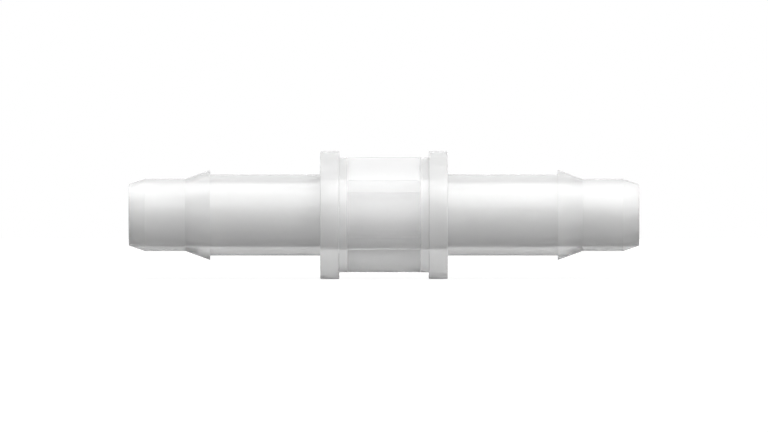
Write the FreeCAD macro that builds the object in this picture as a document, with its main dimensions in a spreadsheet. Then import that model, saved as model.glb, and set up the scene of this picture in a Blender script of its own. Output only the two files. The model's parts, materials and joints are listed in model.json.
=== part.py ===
import FreeCAD, Part
import math
import os

import Sketcher

# Straight hose coupling with one barb at each end, moulded in one piece, in millimetres.
# The bore runs along X, the origin is the middle of the bore and +Z is up.
# Two rounded corners of the hexagon grip point up and down, and one flat faces the front, -Y.

# The stem is the size that the hose grips. The nose, the open end and the bore step inwards
# from it, and the barb, the grip, the collars and the flanges step outwards.
SIZES = (
    ("stem_diameter", 8.14, "outside of each stem, for a hose of 8 mm bore"),
    ("stem_length", 11.0, "from the flange to the square back of the barb"),
    ("barb_rise", 0.45, "barb peak above the stem"),
    ("barb_angle", 20.0, "slope of the barb's ramp, degrees"),
    ("nose_drop", 0.45, "nose land below the stem"),
    ("nose_length", 4.05, "land between the ramp and the lead-in cone"),
    ("lead_in_drop", 0.54, "open end below the nose land"),
    ("lead_in_angle", 18.5, "slope of the lead-in cone, degrees"),
    ("tip_wall", 0.93, "wall around the bore at the open end"),
    ("mouth_chamfer", 0.15, "chamfer round each mouth of the bore"),
    ("middle_relief", 0.165, "step outwards of the bore between the outer faces of the flanges"),
    ("grip_length", 7.34, "hexagon between the collars"),
    ("flat_rise", 1.22, "flats of the grip above the stem"),
    ("corner_rise", 0.465, "rounded corners of the grip above its flats, level with the collars"),
    ("collar_thickness", 0.8, "disc between the grip and the flange"),
    ("flange_rise", 0.66, "rim of the flange above the collar"),
    ("flange_thickness", 1.9, "disc that the end of the hose stops against"),
    ("rim_radius", 0.12, "rounding of the flange rims"),
    ("tip_radius", 0.12, "rounding round the open end"),
)

FLAT_COUNT = 6

NODE = "coupling_body"

# Radii, each one step in or out from its neighbour.
STEM = "Sizes.stem_diameter / 2"
OPEN_END = STEM + " - Sizes.nose_drop - Sizes.lead_in_drop"
BORE = OPEN_END + " - Sizes.tip_wall"
PEAK = STEM + " + Sizes.barb_rise"
FLAT = STEM + " + Sizes.flat_rise"
COLLAR = FLAT + " + Sizes.corner_rise"
FLANGE = COLLAR + " + Sizes.flange_rise"
MIDDLE_BORE = BORE + " + Sizes.middle_relief"

# The length between the outer faces of the two flanges.
MIDDLE_LENGTH = "Sizes.grip_length + 2 * (Sizes.collar_thickness + Sizes.flange_thickness)"


def add_size_sheet(document):
    """Put the driving sizes in a spreadsheet and give each value its name."""
    sheet = document.addObject("Spreadsheet::Sheet", "Sizes")
    for row, (name, value, note) in enumerate(SIZES, start=1):
        sheet.set("A%d" % row, name)
        sheet.set("B%d" % row, str(value))
        sheet.set("C%d" % row, note)
        sheet.setAlias("B%d" % row, name)
    document.recompute()


def size(document, expression):
    """Work out an expression of the size sheet as a plain number."""
    return float(document.getObject("Sizes").evalExpression(expression))


def origin_feature(body, role):
    """One of the body's own origin planes or axes."""
    return next(item for item in body.Origin.OriginFeatures if item.Role == role)


def add_sketch(body, name, role):
    """Start a sketch on one of the body's origin planes."""
    sketch = body.newObject("Sketcher::SketchObject", name)
    sketch.AttachmentSupport = [(origin_feature(body, role), "")]
    sketch.MapMode = "FlatFace"
    return sketch


def draw_closed_outline(sketch, corners):
    """Join the corners with straight sides, side n running from corner n to the next."""
    points = [FreeCAD.Vector(along, out, 0) for along, out in corners]
    for start, end in zip(points, points[1:] + points[:1]):
        sketch.addGeometry(Part.LineSegment(start, end), False)
    count = len(corners)
    for side in range(count):
        sketch.addConstraint(Sketcher.Constraint("Coincident", side, 2, (side + 1) % count, 1))


def hold_straight(sketch, kind, *sides):
    """Keep sides Horizontal or Vertical."""
    for side in sides:
        sketch.addConstraint(Sketcher.Constraint(kind, side))


def dimension(sketch, name, expression, kind, *where):
    """Add a named dimension that follows the size sheet."""
    index = sketch.addConstraint(Sketcher.Constraint(kind, *where))
    sketch.renameConstraint(index, name)
    sketch.setExpression("Constraints." + name, expression)


def rings(shape, radius):
    """Names of the full circles of one radius among a shape's edges."""
    names = []
    for number, edge in enumerate(shape.Edges, start=1):
        if isinstance(edge.Curve, Part.Circle) and edge.isClosed():
            if math.isclose(edge.Curve.Radius, radius, abs_tol=1e-6):
                names.append("Edge%d" % number)
    return names


def turn_half_outline(body):
    """Turn the left half of the coupling, solid, from the open end to the middle."""
    document = body.Document
    stem = size(document, STEM)
    nose = size(document, "stem_diameter / 2 - nose_drop")
    end = size(document, OPEN_END)
    peak = size(document, PEAK)
    collar = size(document, COLLAR)
    flange = size(document, FLANGE)
    flange_inner = -size(document, "grip_length / 2 + collar_thickness")
    flange_outer = flange_inner - size(document, "flange_thickness")
    barb_back = flange_outer - size(document, "stem_length")
    ramp_foot = barb_back - size(document, "(barb_rise + nose_drop) / tan(barb_angle)")
    cone_top = ramp_foot - size(document, "nose_length")
    open_end = cone_top - size(document, "lead_in_drop / tan(lead_in_angle)")

    sketch = add_sketch(body, "half_outline", "XZ_Plane")
    draw_closed_outline(sketch, (
        (open_end, 0),
        (open_end, end),
        (cone_top, nose),
        (ramp_foot, nose),
        (barb_back, peak),
        (barb_back, stem),
        (flange_outer, stem),
        (flange_outer, flange),
        (flange_inner, flange),
        (flange_inner, collar),
        (0, collar),
        (0, 0),
    ))
    end_face, cone, land, ramp, barb_face, stem_side, flange_face, rim, flange_step = range(9)
    barrel, middle, axis = range(9, 12)
    origin = (-1, 1)
    hold_straight(sketch, "Vertical", end_face, barb_face, flange_face, flange_step, middle)
    hold_straight(sketch, "Horizontal", land, stem_side, rim, barrel, axis)
    sketch.addConstraint(Sketcher.Constraint("Coincident", axis, 1, *origin))

    dimension(sketch, "stem_radius", STEM, "DistanceY", *origin, stem_side, 1, stem)
    dimension(sketch, "nose_drop", "Sizes.nose_drop", "DistanceY", land, 1, stem_side, 1,
              stem - nose)
    dimension(sketch, "lead_in_drop", "Sizes.lead_in_drop", "DistanceY", cone, 1, cone, 2,
              nose - end)
    dimension(sketch, "barb_rise", "Sizes.barb_rise", "DistanceY", barb_face, 2, barb_face, 1,
              peak - stem)
    dimension(sketch, "collar_rise", "Sizes.flat_rise + Sizes.corner_rise", "DistanceY",
              stem_side, 2, barrel, 1, collar - stem)
    dimension(sketch, "flange_rise", "Sizes.flange_rise", "DistanceY", flange_step, 2,
              flange_step, 1, flange - collar)
    dimension(sketch, "half_barrel", "Sizes.grip_length / 2 + Sizes.collar_thickness",
              "DistanceX", barrel, 1, barrel, 2, -flange_inner)
    dimension(sketch, "flange_thickness", "Sizes.flange_thickness", "DistanceX", rim, 1, rim, 2,
              flange_inner - flange_outer)
    dimension(sketch, "stem_length", "Sizes.stem_length", "DistanceX", stem_side, 1,
              stem_side, 2, flange_outer - barb_back)
    dimension(sketch, "nose_length", "Sizes.nose_length", "DistanceX", land, 1, land, 2,
              ramp_foot - cone_top)
    dimension(sketch, "barb_angle", "Sizes.barb_angle * 1 deg", "Angle", ramp,
              math.radians(size(document, "barb_angle")))
    dimension(sketch, "lead_in_angle", "Sizes.lead_in_angle * 1 deg", "Angle", cone,
              math.radians(size(document, "lead_in_angle")))

    half = body.newObject("PartDesign::Revolution", "turned_half")
    half.Profile = sketch
    half.ReferenceAxis = (origin_feature(body, "X_Axis"), [""])
    half.Angle = 360
    document.recompute()
    return half


def mirror_half(body, half):
    """Add the right half, the mirror image of the left one."""
    mirrored = body.newObject("PartDesign::Mirrored", "both_halves")
    mirrored.Originals = [half]
    mirrored.MirrorPlane = (origin_feature(body, "YZ_Plane"), [""])
    mirrored.Refine = True
    body.Tip = mirrored
    body.Document.recompute()
    return mirrored


def cut_grip_flats(body):
    """Cut one flat between the collars, at the front, and repeat it round the hexagon."""
    document = body.Document
    near = size(document, FLAT)
    depth = size(document, "2 * corner_rise")
    half_width = size(document, COLLAR)

    sketch = add_sketch(body, "front_flat", "YZ_Plane")
    draw_closed_outline(sketch, (
        (-near - depth, -half_width),
        (-near, -half_width),
        (-near, half_width),
        (-near - depth, half_width),
    ))
    hold_straight(sketch, "Horizontal", 0, 2)
    hold_straight(sketch, "Vertical", 3)
    sketch.addConstraint(Sketcher.Constraint("Symmetric", 1, 1, 1, 2, -1))
    dimension(sketch, "flat_from_axis", FLAT, "DistanceX", 1, 1, -1, 1, near)
    dimension(sketch, "cut_depth", "2 * Sizes.corner_rise", "DistanceX", 0, 1, 0, 2, depth)
    dimension(sketch, "cut_width", "2 * (" + COLLAR + ")", "DistanceY", 1, 1, 1, 2,
              2 * half_width)

    flat = body.newObject("PartDesign::Pocket", "grip_flat")
    flat.Profile = sketch
    flat.SideType = "Symmetric"
    flat.setExpression("Length", "Sizes.grip_length")
    document.recompute()

    flats = body.newObject("PartDesign::PolarPattern", "grip_flats")
    flats.Originals = [flat]
    flats.Axis = (origin_feature(body, "X_Axis"), [""])
    flats.Angle = 360
    flats.Occurrences = FLAT_COUNT
    flats.Refine = True
    body.Tip = flats
    document.recompute()


def cut_round(body, name, radius, length=None):
    """Cut a round hole about the X axis, half its length to each side, or right through."""
    document = body.Document
    sketch = add_sketch(body, name + "_circle", "YZ_Plane")
    circle = Part.Circle(FreeCAD.Vector(0, 0, 0), FreeCAD.Vector(0, 0, 1), size(document, radius))
    sketch.addGeometry(circle, False)
    sketch.addConstraint(Sketcher.Constraint("Coincident", 0, 3, -1, 1))
    dimension(sketch, name + "_radius", radius, "Radius", 0, size(document, radius))

    hole = body.newObject("PartDesign::Pocket", name)
    hole.Profile = sketch
    hole.SideType = "Symmetric"
    if length is None:
        hole.Type = "ThroughAll"
    else:
        hole.setExpression("Length", length)
    document.recompute()


def soften(body, name, kind, property_name, alias, radius):
    """Fillet or chamfer every full circle of one radius."""
    before = body.Tip
    edges = rings(before.Shape, radius)
    feature = body.newObject("PartDesign::" + kind, name)
    feature.Base = (before, edges)
    feature.setExpression(property_name, "Sizes." + alias)
    body.Document.recompute()


def soften_edges(body):
    """Chamfer the mouths of the bore, and round the flange rims and the open ends.

    The barbs keep their sharp peaks, which grip the hose.
    """
    document = body.Document
    soften(body, "mouth_chamfers", "Chamfer", "Size", "mouth_chamfer", size(document, BORE))
    soften(body, "flange_rims", "Fillet", "Radius", "rim_radius", size(document, FLANGE))
    soften(body, "open_ends", "Fillet", "Radius", "tip_radius", size(document, OPEN_END))


def build_coupling(document):
    """The whole coupling as one body."""
    body = document.addObject("PartDesign::Body", NODE)
    body.Label = NODE
    half = turn_half_outline(body)
    mirror_half(body, half)
    cut_grip_flats(body)
    cut_round(body, "bore", BORE)
    soften_edges(body)
    cut_round(body, "bore_middle", MIDDLE_BORE, MIDDLE_LENGTH)
    body.Placement = FreeCAD.Placement()
    document.recompute()
    return body


def check(document, bodies):
    """Stop before anything is written if a feature failed or a shape isn't a sound solid."""
    for item in document.Objects:
        if "Invalid" in item.State or "Error" in item.State:
            raise RuntimeError("%s did not recompute: %s" % (item.Name, item.State))
    for body in bodies:
        shape = body.Shape
        if shape.isNull() or not shape.isValid() or len(shape.Solids) != 1:
            raise RuntimeError("%s is not one sound solid" % body.Label)


def main():
    document = FreeCAD.newDocument("hose_coupling")
    add_size_sheet(document)
    bodies = [build_coupling(document)]
    check(document, bodies)
    os.makedirs("parts", exist_ok=True)
    for body in bodies:
        body.Shape.exportStep("parts/%s.step" % body.Label)
        box = body.Shape.optimalBoundingBox()
        print("%s %.2f x %.2f x %.2f mm, %.1f mm3"
              % (body.Label, box.XLength, box.YLength, box.ZLength, body.Shape.Volume))


main()
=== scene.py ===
"""Barbed hose coupling, moulded in one piece of natural plastic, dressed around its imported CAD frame."""

import json
import math

import bmesh
import bpy
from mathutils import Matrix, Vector


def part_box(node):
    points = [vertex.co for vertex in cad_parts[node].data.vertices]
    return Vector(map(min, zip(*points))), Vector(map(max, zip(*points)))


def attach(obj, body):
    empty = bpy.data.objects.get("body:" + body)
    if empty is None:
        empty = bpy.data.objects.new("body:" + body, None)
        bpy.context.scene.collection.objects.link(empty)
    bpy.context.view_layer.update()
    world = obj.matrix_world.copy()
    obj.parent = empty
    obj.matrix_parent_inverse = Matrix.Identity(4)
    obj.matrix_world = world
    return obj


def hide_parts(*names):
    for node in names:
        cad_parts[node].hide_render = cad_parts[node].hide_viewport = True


bl_info = {
    "name": "Barbed Hose Coupling",
    "version": (1, 0, 0),
    "blender": (4, 5, 0),
    "location": "View3D > Sidebar > Coupling",
    "description": "Natural plastic hose coupling over its packed frame, with a pale studio",
    "category": "Add Mesh",
}

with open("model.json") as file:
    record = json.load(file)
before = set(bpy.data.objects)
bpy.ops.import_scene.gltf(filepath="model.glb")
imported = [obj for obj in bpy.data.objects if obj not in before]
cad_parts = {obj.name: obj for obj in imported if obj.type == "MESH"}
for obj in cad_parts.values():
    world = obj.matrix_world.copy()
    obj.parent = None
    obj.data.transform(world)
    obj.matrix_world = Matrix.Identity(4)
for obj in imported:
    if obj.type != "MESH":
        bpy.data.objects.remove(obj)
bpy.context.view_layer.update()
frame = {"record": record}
BODY_LOW, BODY_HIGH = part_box("coupling_body")
MOUNTS = {mount["name"]: mount for mount in frame["record"]["mounts"]}
NOSE = MOUNTS["hose_nose_right"]
MM = 0.001
BLACK = (0.0, 0.0, 0.0, 1.0)
WHITE = (1.0, 1.0, 1.0, 1.0)

# Degrees round the axis from one flat of the hexagon grip to the next
FLAT_STEP = 60
# Steps in each rounding of the outline
ARC_STEPS = 6
# Steps across each flat of the grip, and across each of its corners
SIDE_STEPS = 14
# Points of the mesh that are nearer than this, in metres as all lengths are, become one
SAME_SPOT = 1e-8
# How far a zone of the moulding reaches past its edge
ZONE_SLACK = 0.01 * MM
# Degrees between two faces from which the edge between them is sharp
SHARP_TURN = 16
# The mould marks change twenty times more slowly across the axis than along it, which makes them rings
RING_STRETCH = (1.0, 0.05, 0.05)
# The mean of a noise that runs from 0 to 1
MEAN_NOISE = 0.5
# Width of the camera's sensor, in millimetres as the lens is
SENSOR_WIDTH = 36.0
# The furthest that the camera sees
SEEN_REACH = 100.0

# Name, degrees from the camera's side round to the right, degrees up from level, and watts
LAMPS = (
    ("overhead", 0, 85, 0.11),
    ("high_back_left", -125, 60, 0.10),
    ("high_left", -70, 60, 0.17),
    ("high_front", 0, 60, 0.08),
    ("high_front_near_right", 20, 60, 0.11),
    ("high_front_right", 45, 60, 0.07),
    ("high_right", 70, 60, 0.14),
    ("back_left", -125, 35, 0.08),
    ("left", -95, 35, 0.12),
    ("front", 0, 35, 0.13),
    ("front_near_right", 20, 35, 0.06),
    ("front_right", 45, 35, 0.09),
    ("right", 95, 35, 0.17),
    ("low_right", 95, 10, 0.10),
)


def length(label, about, default):
    """A size in metres for the sidebar."""
    return bpy.props.FloatProperty(
        name=label, description=about, default=default, precision=5, unit="LENGTH", subtype="DISTANCE"
    )


def share(label, about, default):
    """A number from 0 to 1 for the sidebar."""
    return bpy.props.FloatProperty(
        name=label, description=about, default=default, min=0.0, max=1.0, subtype="FACTOR"
    )


def colour(label, about, default):
    """A colour for the sidebar."""
    return bpy.props.FloatVectorProperty(
        name=label, description=about, default=default, size=3, min=0.0, max=1.0, subtype="COLOR"
    )


def turn(label, about, degrees):
    """An angle for the sidebar."""
    return bpy.props.FloatProperty(
        name=label, description=about, default=math.radians(degrees), unit="ROTATION", subtype="ANGLE"
    )


class CouplingSizes(bpy.types.PropertyGroup):
    """Sizes of the moulding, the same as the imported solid's."""

    half_length: length("Half length", "From the middle of the grip to an open end", BODY_HIGH.x)
    flange_radius: length("Flange radius", "Outer radius of the two flanges", BODY_HIGH.z)
    flange_face: length(
        "Flange face", "From the middle to the face that stops a hose", MOUNTS["hose_stop_right"]["pos_m"][0]
    )
    flange_thickness: length("Flange thickness", "Thickness of each flange", 1.9 * MM)
    collar_radius: length("Collar radius", "Radius of the collars and of the grip's corners", 5.755 * MM)
    collar_thickness: length("Collar thickness", "Width of the round collar beside each flange", 0.8 * MM)
    flat_distance: length(
        "Flat distance", "From the axis to a flat of the hexagon grip", -MOUNTS["spanner_flat"]["pos_m"][1]
    )
    stem_radius: length("Stem radius", "Radius of the plain stem that the hose grips", 4.07 * MM)
    stem_length: length("Stem length", "From the flange face to the back of the barb", 11.0 * MM)
    peak_radius: length("Barb radius", "Radius of the barb's sharp edge", 4.52 * MM)
    barb_angle: turn("Barb angle", "Slope of the barb's ramp against the axis", 20.0)
    nose_radius: length("Nose radius", "Radius of the nose ahead of the barb", NOSE["dims"]["r_mm"] * MM)
    nose_length: length("Nose length", "Straight length of the nose", NOSE["dims"]["length_mm"] * MM)
    end_radius: length("End radius", "Radius where the lead-in cone meets the open end", 3.08 * MM)
    lead_in_angle: turn("Lead-in angle", "Slope of the lead-in cone against the axis", 18.5)
    bore_radius: length(
        "Bore radius", "Radius of the bore in the stems", MOUNTS["bore_right"]["dims"]["r_mm"] * MM
    )
    middle_radius: length("Middle bore radius", "Radius of the bore between the flange faces", 2.315 * MM)
    rim_radius: length("Rim rounding", "Rounding of the flange rims", 0.12 * MM)
    tip_radius: length("End rounding", "Rounding of the open ends", 0.12 * MM)
    mouth_chamfer: length("Mouth chamfer", "Chamfer at each mouth of the bore", 0.15 * MM)
    bore_zone: length("Bore zone", "From the axis to where the bore's finish turns into skin", 2.5 * MM)


class PlasticFinish(bpy.types.PropertyGroup):
    """Look of the natural plastic, zone by zone."""

    clear_tone: colour("Clear tone", "Colour of the plastic where it is clearest", (0.97, 0.97, 0.97))
    milky_tone: colour("Milky tone", "Colour of the plastic where it is cloudiest", (0.92, 0.92, 0.92))
    skin_see_through: share("Skin see-through", "How much light passes the outer skin", 0.58)
    skin_roughness: share("Skin roughness", "Mean roughness of the outer skin", 0.15)
    shoulder_see_through: share("Shoulder see-through", "How much light passes the flanges and collars", 0.57)
    sloping_see_through: share("Sloping see-through", "How much light passes the grip's sloping flats", 0.46)
    sloping_roughness: share("Sloping roughness", "Mean roughness of the grip's sloping flats", 0.6)
    polished_see_through: share(
        "Polished see-through", "How much light passes the grip's upright flats and its corners", 0.97
    )
    bore_see_through: share("Bore see-through", "How much light passes the frosted wall of the bore", 0.03)
    bore_roughness: share("Bore roughness", "Mean roughness of the frosted wall of the bore", 0.45)
    refractive_index: bpy.props.FloatProperty(
        name="Refractive index", description="How far the plastic bends light", default=1.49, min=1.0
    )
    cloud_size: length("Cloud size", "Size of the faint milky clouds", 2.4 * MM)
    cloud_roughness: share("Cloud roughness", "How much the clouds vary the roughness", 0.06)
    grain_size: length("Grain size", "Size of the moulding grain", 0.28 * MM)
    grain_roughness: share("Grain roughness", "How much the grain varies the roughness", 0.04)
    ring_size: length("Mark size", "Size of the turned mould marks along the axis", 0.112 * MM)
    ring_share: share("Mark share", "Share of the surface's relief that is mould marks and not grain", 0.4)
    relief: length("Relief", "Height of the grain and the mould marks together", 0.0016 * MM)


class PaleStudio(bpy.types.PropertyGroup):
    """Floor, camera and soft light."""

    floor_tone: colour("Floor tone", "Colour of the floor", (0.3, 0.3, 0.3))
    floor_half: length("Floor half width", "Half the side of the square floor", 3.0)
    # Near the middle the floor glows less: painted shade round the coupling in what the plastic reflects and
    # lets through; for the camera the smaller lift only lets the floor's real shadow show
    near_floor: length("Near floor", "From the middle to where the floor starts to turn white", 0.05)
    far_floor: length("Far floor", "From the middle to where the floor is all white", 0.16)
    seen_lift: share("Lift where seen", "Glow of the near floor for the camera", 0.65)
    mirrored_lift: share("Lift where mirrored", "Glow of the near floor in and through the plastic", 0.15)
    fill_tone: colour("Fill light", "Even light from all round", (0.2, 0.2, 0.2))
    lamp_distance: length("Lamp distance", "From the coupling to each soft lamp", 0.3)
    lamp_side: length("Lamp side", "Side of each square soft lamp", 0.15)
    lens: bpy.props.FloatProperty(
        name="Lens", description="Focal length of the long lens", default=800.0, unit="CAMERA"
    )
    view_width: length("View width", "Width that the camera takes in at the coupling", 76.8 * MM)
    view_drop: length("View drop", "How far the camera is below the coupling's axis", 0.11 * MM)


class Wire:
    """One socket's value, on which Python's arithmetic adds Math nodes."""

    def __init__(self, recipe, socket):
        self.recipe = recipe
        self.socket = socket

    def _math(self, operation, first, second):
        return self.recipe.add("ShaderNodeMath", {"operation": operation}, {0: first, 1: second})

    def __add__(self, other):
        return self._math("ADD", self, other)

    def __radd__(self, other):
        return self._math("ADD", other, self)

    def __sub__(self, other):
        return self._math("SUBTRACT", self, other)

    def __rsub__(self, other):
        return self._math("SUBTRACT", other, self)

    def __mul__(self, other):
        return self._math("MULTIPLY", self, other)

    def __rmul__(self, other):
        return self._math("MULTIPLY", other, self)

    def at_most(self, other):
        return self._math("MINIMUM", self, other)


def socket_in_use(sockets, name=None):
    """The first enabled socket, or the first one of that name."""
    return next(socket for socket in sockets if socket.enabled and name in (None, socket.name))


class Recipe:
    """The node tree of one material or of the world, built from nothing."""

    def __init__(self, owner):
        owner.use_nodes = True
        self.tree = owner.node_tree
        self.tree.nodes.clear()

    def add(self, kind, settings=None, inputs=None, output=None):
        """Adds a node: its settings first, then the values or links of its sockets, by name or number."""
        node = self.tree.nodes.new(kind)
        for name, value in (settings or {}).items():
            setattr(node, name, value)
        for key, value in (inputs or {}).items():
            socket = node.inputs[key] if isinstance(key, int) else socket_in_use(node.inputs, key)
            if isinstance(value, Wire):
                self.tree.links.new(value.socket, socket)
            else:
                socket.default_value = value
        return Wire(self, socket_in_use(node.outputs, output)) if node.outputs else None

    def blend(self, amount, first, second):
        """A colour between two colours."""
        return self.add(
            "ShaderNodeMix",
            {"data_type": "RGBA", "clamp_factor": True},
            {"Factor": amount, "A": first, "B": second},
        )

    def noise(self, place, size, detail=2.0, roughness=0.5):
        """Noise from 0 to 1 whose lumps have that size in metres."""
        return self.add(
            "ShaderNodeTexNoise",
            {"noise_dimensions": "3D", "normalize": True},
            {"Vector": place, "Scale": 1.0 / size, "Detail": detail, "Roughness": roughness},
            "Fac",
        )

    def stretch(self, place, factors):
        """The same place, scaled along each axis."""
        return self.add("ShaderNodeVectorMath", {"operation": "MULTIPLY"}, {0: place, 1: factors})

    def ramp(self, value, start, end):
        """0 up to the start, 1 from the end on, and smooth between."""
        return self.add(
            "ShaderNodeMapRange",
            {"interpolation_type": "SMOOTHSTEP"},
            {"Value": value, "From Min": start, "From Max": end},
        )


def opaque(tone):
    """A colour with full opacity, as the sockets take it."""
    return (*tone, 1.0)


def natural_plastic(name, finish, see_through, roughness):
    """Natural plastic with faint milky clouds, turned mould marks and a fine grain."""
    material = bpy.data.materials.new(name)
    recipe = Recipe(material)
    place = recipe.add("ShaderNodeTexCoord", output="Object")
    clouds = recipe.noise(place, finish.cloud_size, detail=3.0)
    rings = recipe.noise(recipe.stretch(place, RING_STRETCH), finish.ring_size, detail=1.0)
    grain = recipe.noise(place, finish.grain_size, detail=2.0, roughness=0.6)
    height = (1.0 - finish.ring_share) * grain + finish.ring_share * rings
    cloudy = finish.cloud_roughness * (clouds - MEAN_NOISE)
    grainy = finish.grain_roughness * (grain - MEAN_NOISE)
    plastic = recipe.add(
        "ShaderNodeBsdfPrincipled",
        inputs={
            "Base Color": recipe.blend(clouds, opaque(finish.clear_tone), opaque(finish.milky_tone)),
            "Roughness": roughness + cloudy + grainy,
            "IOR": finish.refractive_index,
            "Transmission Weight": see_through,
            "Normal": recipe.add(
                "ShaderNodeBump", inputs={"Strength": 1.0, "Distance": finish.relief, "Height": height}
            ),
        },
    )
    recipe.add("ShaderNodeOutputMaterial", inputs={"Surface": plastic})
    material.diffuse_color = opaque(finish.milky_tone)
    return material


def plastic_zones(finish):
    """The finishes of the moulding's zones, by zone."""
    return {
        "skin": natural_plastic("Moulded skin", finish, finish.skin_see_through, finish.skin_roughness),
        "shoulder": natural_plastic(
            "Shoulder skin", finish, finish.shoulder_see_through, finish.skin_roughness
        ),
        "sloping": natural_plastic(
            "Textured sloping flats", finish, finish.sloping_see_through, finish.sloping_roughness
        ),
        "polished": natural_plastic(
            "Polished flats and corners", finish, finish.polished_see_through, finish.skin_roughness
        ),
        "bore": natural_plastic("Frosted bore", finish, finish.bore_see_through, finish.bore_roughness),
    }


def rounding(centre_x, centre_r, radius, start, end):
    """Points of an arc in the half outline, from one angle to another in degrees."""
    angles = [math.radians(start + (end - start) * i / ARC_STEPS) for i in range(ARC_STEPS + 1)]
    return [(centre_x + radius * math.cos(a), centre_r + radius * math.sin(a)) for a in angles]


def half_outline(s):
    """The right half's outline, as places along the axis and radii: from the grip over flange, stem,
    barb and nose to the open end, and back along the bore. A radius of None is the hexagon's."""
    flange_back = s.flange_face - s.flange_thickness
    grip_end = flange_back - s.collar_thickness
    barb_back = s.flange_face + s.stem_length
    ramp_foot = barb_back + (s.peak_radius - s.nose_radius) / math.tan(s.barb_angle)
    cone_foot = ramp_foot + s.nose_length
    points = [(grip_end, None), (grip_end, s.collar_radius), (flange_back, s.collar_radius)]
    rim = s.flange_radius - s.rim_radius
    points += rounding(flange_back + s.rim_radius, rim, s.rim_radius, 180, 90)
    points += rounding(s.flange_face - s.rim_radius, rim, s.rim_radius, 90, 0)
    points += [(s.flange_face, s.stem_radius), (barb_back, s.stem_radius), (barb_back, s.peak_radius)]
    points += [(ramp_foot, s.nose_radius), (cone_foot, s.nose_radius)]
    tip_x = s.half_length - s.tip_radius
    slope = s.lead_in_angle
    tip_r = s.end_radius - (s.tip_radius * (1 - math.sin(slope))) / math.cos(slope)
    points += rounding(tip_x, tip_r, s.tip_radius, 90 - math.degrees(slope), 0)
    points += [(s.half_length, s.bore_radius + s.mouth_chamfer)]
    points += [(s.half_length - s.mouth_chamfer, s.bore_radius)]
    points += [(s.flange_face, s.bore_radius), (s.flange_face, s.middle_radius)]
    return points


def off_flat(angle):
    """Degrees to an angle round the axis from the middle of the nearest flat."""
    return (angle + FLAT_STEP / 2) % FLAT_STEP - FLAT_STEP / 2


def hexagon_radius(angle, s):
    """Radius of the grip at an angle: a flat, or the corner arc flush with the collars."""
    return min(s.collar_radius, s.flat_distance / math.cos(math.radians(off_flat(angle))))


def flat_edge(s):
    """Degrees from the middle of a flat to its edge."""
    return math.degrees(math.acos(s.flat_distance / s.collar_radius))


def zone_of(spot, s):
    """The zone of the moulding that holds a spot on its surface."""
    along, away = abs(spot.x), math.hypot(spot.y, spot.z)
    if away < s.bore_zone:
        return "bore"
    if along > s.flange_face + ZONE_SLACK:
        return "skin"
    if along > s.flange_face - s.flange_thickness - s.collar_thickness - ZONE_SLACK:
        return "shoulder"
    angle = math.degrees(math.atan2(spot.z, -spot.y))
    on_corner = abs(off_flat(angle)) > flat_edge(s)
    # Every third flat stands upright, from the one that faces the camera
    on_upright_flat = round(angle / FLAT_STEP) % 3 == 0
    return "polished" if on_corner or on_upright_flat else "sloping"


def ring_angles(s):
    """Angles round the axis in degrees, with a step on every line where a flat meets a corner."""
    flat = 2 * flat_edge(s)
    corner = FLAT_STEP - flat
    angles = []
    for middle in range(0, 360, FLAT_STEP):
        start = middle - flat / 2
        angles += [start + flat * i / SIDE_STEPS for i in range(SIDE_STEPS)]
        angles += [start + flat + corner * i / SIDE_STEPS for i in range(SIDE_STEPS)]
    return angles


def coupling_mesh(s, zones):
    """The whole moulding as one closed mesh turned round the X axis, with a finish for each zone."""
    right = half_outline(s)
    outline = [(-x, r) for x, r in reversed(right)] + right
    angles = ring_angles(s)
    mould = bmesh.new()
    rings = []
    for x, radius in outline:
        ring = []
        for angle in angles:
            r = hexagon_radius(angle, s) if radius is None else radius
            a = math.radians(angle)
            ring.append(mould.verts.new((x, -r * math.cos(a), r * math.sin(a))))
        rings.append(ring)
    for near, far in zip(rings, rings[1:] + rings[:1]):
        for i in range(len(angles)):
            j = (i + 1) % len(angles)
            mould.faces.new((near[i], near[j], far[j], far[i]))
    bmesh.ops.remove_doubles(mould, verts=mould.verts, dist=SAME_SPOT)
    bmesh.ops.dissolve_degenerate(mould, dist=SAME_SPOT, edges=mould.edges)
    bmesh.ops.recalc_face_normals(mould, faces=mould.faces)
    order = list(zones)
    for face in mould.faces:
        face.smooth = True
        face.material_index = order.index(zone_of(face.calc_center_median(), s))
    mesh = bpy.data.meshes.new("moulded_coupling")
    mould.to_mesh(mesh)
    mould.free()
    for finish in zones.values():
        mesh.materials.append(finish)
    mesh.set_sharp_from_angle(angle=math.radians(SHARP_TURN))
    return mesh


class COUPLING_OT_moulding(bpy.types.Operator):
    """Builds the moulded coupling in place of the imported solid"""

    bl_idname = "coupling.moulding"
    bl_label = "Moulded Coupling"

    def execute(self, context):
        scene = context.scene
        mesh = coupling_mesh(scene.coupling_sizes, plastic_zones(scene.coupling_finish))
        if not mesh.polygons:
            raise RuntimeError("the coupling's outline gave no faces")
        piece = bpy.data.objects.new("moulded_coupling", mesh)
        scene.collection.objects.link(piece)
        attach(piece, "root")
        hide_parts("coupling_body")
        return {"FINISHED"}


def ray_kind(recipe, *kinds):
    """1 for the rays of these kinds, and 0 for all others."""
    rays = [recipe.add("ShaderNodeLightPath", output=kind) for kind in kinds]
    return sum(rays[1:], rays[0]).at_most(1.0)


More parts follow.
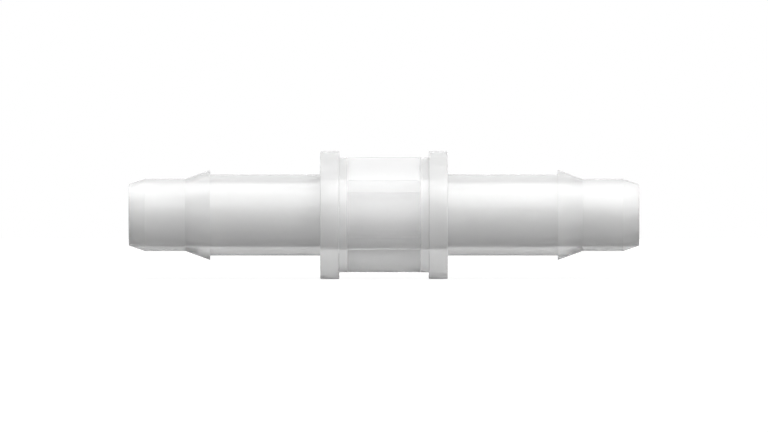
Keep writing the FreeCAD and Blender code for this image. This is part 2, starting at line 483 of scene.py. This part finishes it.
def pale_floor(studio):
    """Floor that keeps its shadows and is lifted to white where it is looked at, less so near the middle,
    which paints shade round the coupling into what the plastic reflects and lets through.
    """
    material = bpy.data.materials.new("Pale floor")
    recipe = Recipe(material)
    place = recipe.add("ShaderNodeTexCoord", output="Object")
    away = recipe.add("ShaderNodeVectorMath", {"operation": "LENGTH"}, {0: place}, "Value")
    near = 1.0 - recipe.ramp(away, studio.near_floor, studio.far_floor)
    camera = ray_kind(recipe, "Is Camera Ray")
    mirrored = ray_kind(recipe, "Is Glossy Ray", "Is Transmission Ray")
    seen_glow = 1.0 - (1.0 - studio.seen_lift) * near
    # Painted shade: the plastic sees the floor near the coupling dimmed far below white
    mirrored_glow_with_painted_shade = 1.0 - (1.0 - studio.mirrored_lift) * near
    glow = recipe.blend(camera * seen_glow + mirrored * mirrored_glow_with_painted_shade, BLACK, WHITE)
    lift = recipe.add("ShaderNodeEmission", inputs={"Color": glow, "Strength": 1.0})
    matt = recipe.add("ShaderNodeBsdfDiffuse", inputs={"Color": opaque(studio.floor_tone)})
    both = recipe.add("ShaderNodeAddShader", inputs={0: matt, 1: lift})
    recipe.add("ShaderNodeOutputMaterial", inputs={"Surface": both})
    return material


def pale_world(scene, studio):
    """White all round where it is looked at, and an even fill light otherwise."""
    world = bpy.data.worlds.new("Pale studio")
    scene.world = world
    recipe = Recipe(world)
    seen = ray_kind(recipe, "Is Camera Ray", "Is Glossy Ray", "Is Transmission Ray")
    tone = recipe.blend(seen, opaque(studio.fill_tone), WHITE)
    sky = recipe.add("ShaderNodeBackground", inputs={"Color": tone, "Strength": 1.0})
    recipe.add("ShaderNodeOutputWorld", inputs={"Surface": sky})


def soft_lamp(scene, studio, name, azimuth, elevation, watts):
    """A square soft lamp that looks at the coupling."""
    light = bpy.data.lights.new("lamp_" + name, "AREA")
    light.shape = "SQUARE"
    light.size = studio.lamp_side
    light.energy = watts
    lamp = bpy.data.objects.new("lamp_" + name, light)
    a, e = math.radians(azimuth), math.radians(elevation)
    away = Vector((math.sin(a) * math.cos(e), -math.cos(a) * math.cos(e), math.sin(e)))
    lamp.location = away * studio.lamp_distance
    lamp.rotation_euler = away.to_track_quat("Z", "Y").to_euler()
    lamp.visible_camera = False
    scene.collection.objects.link(lamp)


class COUPLING_OT_studio(bpy.types.Operator):
    """Lays the pale floor and sets the soft lamps, the world and the camera"""

    bl_idname = "coupling.studio"
    bl_label = "Pale Studio"

    def execute(self, context):
        scene = context.scene
        studio = scene.coupling_studio
        half, level = studio.floor_half, BODY_LOW.z
        mesh = bpy.data.meshes.new("studio_floor")
        corners = [(-half, -half, level), (half, -half, level), (half, half, level), (-half, half, level)]
        mesh.from_pydata(corners, [], [(0, 1, 2, 3)])
        mesh.materials.append(pale_floor(studio))
        floor = bpy.data.objects.new("studio_floor", mesh)
        scene.collection.objects.link(floor)
        pale_world(scene, studio)
        for lamp in LAMPS:
            soft_lamp(scene, studio, *lamp)
        scene.view_settings.view_transform = "Standard"
        lens = bpy.data.cameras.new("photo_camera")
        lens.type = "PERSP"
        lens.sensor_width = SENSOR_WIDTH
        lens.lens = studio.lens
        lens.clip_end = SEEN_REACH
        camera = bpy.data.objects.new("photo_camera", lens)
        distance = studio.view_width * studio.lens / SENSOR_WIDTH
        camera.location = (0.0, -distance, -studio.view_drop)
        camera.rotation_euler = (math.radians(90.0), 0.0, 0.0)
        scene.collection.objects.link(camera)
        scene.camera = camera
        return {"FINISHED"}


class COUPLING_PT_sidebar(bpy.types.Panel):
    """Lists the coupling's steps and sizes in the sidebar"""

    bl_label = "Hose Coupling"
    bl_idname = "COUPLING_PT_sidebar"
    bl_space_type = "VIEW_3D"
    bl_region_type = "UI"
    bl_category = "Coupling"

    def draw(self, context):
        layout = self.layout
        for operator in (COUPLING_OT_moulding, COUPLING_OT_studio):
            layout.operator(operator.bl_idname)
        for group in (
            context.scene.coupling_sizes,
            context.scene.coupling_finish,
            context.scene.coupling_studio,
        ):
            box = layout.box()
            for name in group.__annotations__:
                box.prop(group, name)


CLASSES = (
    CouplingSizes,
    PlasticFinish,
    PaleStudio,
    COUPLING_OT_moulding,
    COUPLING_OT_studio,
    COUPLING_PT_sidebar,
)


def register():
    for cls in CLASSES:
        bpy.utils.register_class(cls)
    bpy.types.Scene.coupling_sizes = bpy.props.PointerProperty(type=CouplingSizes)
    bpy.types.Scene.coupling_finish = bpy.props.PointerProperty(type=PlasticFinish)
    bpy.types.Scene.coupling_studio = bpy.props.PointerProperty(type=PaleStudio)


def unregister():
    del bpy.types.Scene.coupling_studio
    del bpy.types.Scene.coupling_finish
    del bpy.types.Scene.coupling_sizes
    for cls in reversed(CLASSES):
        bpy.utils.unregister_class(cls)


def main():
    register()
    bpy.ops.coupling.moulding()
    bpy.ops.coupling.studio()


if __name__ == "__main__":
    main()
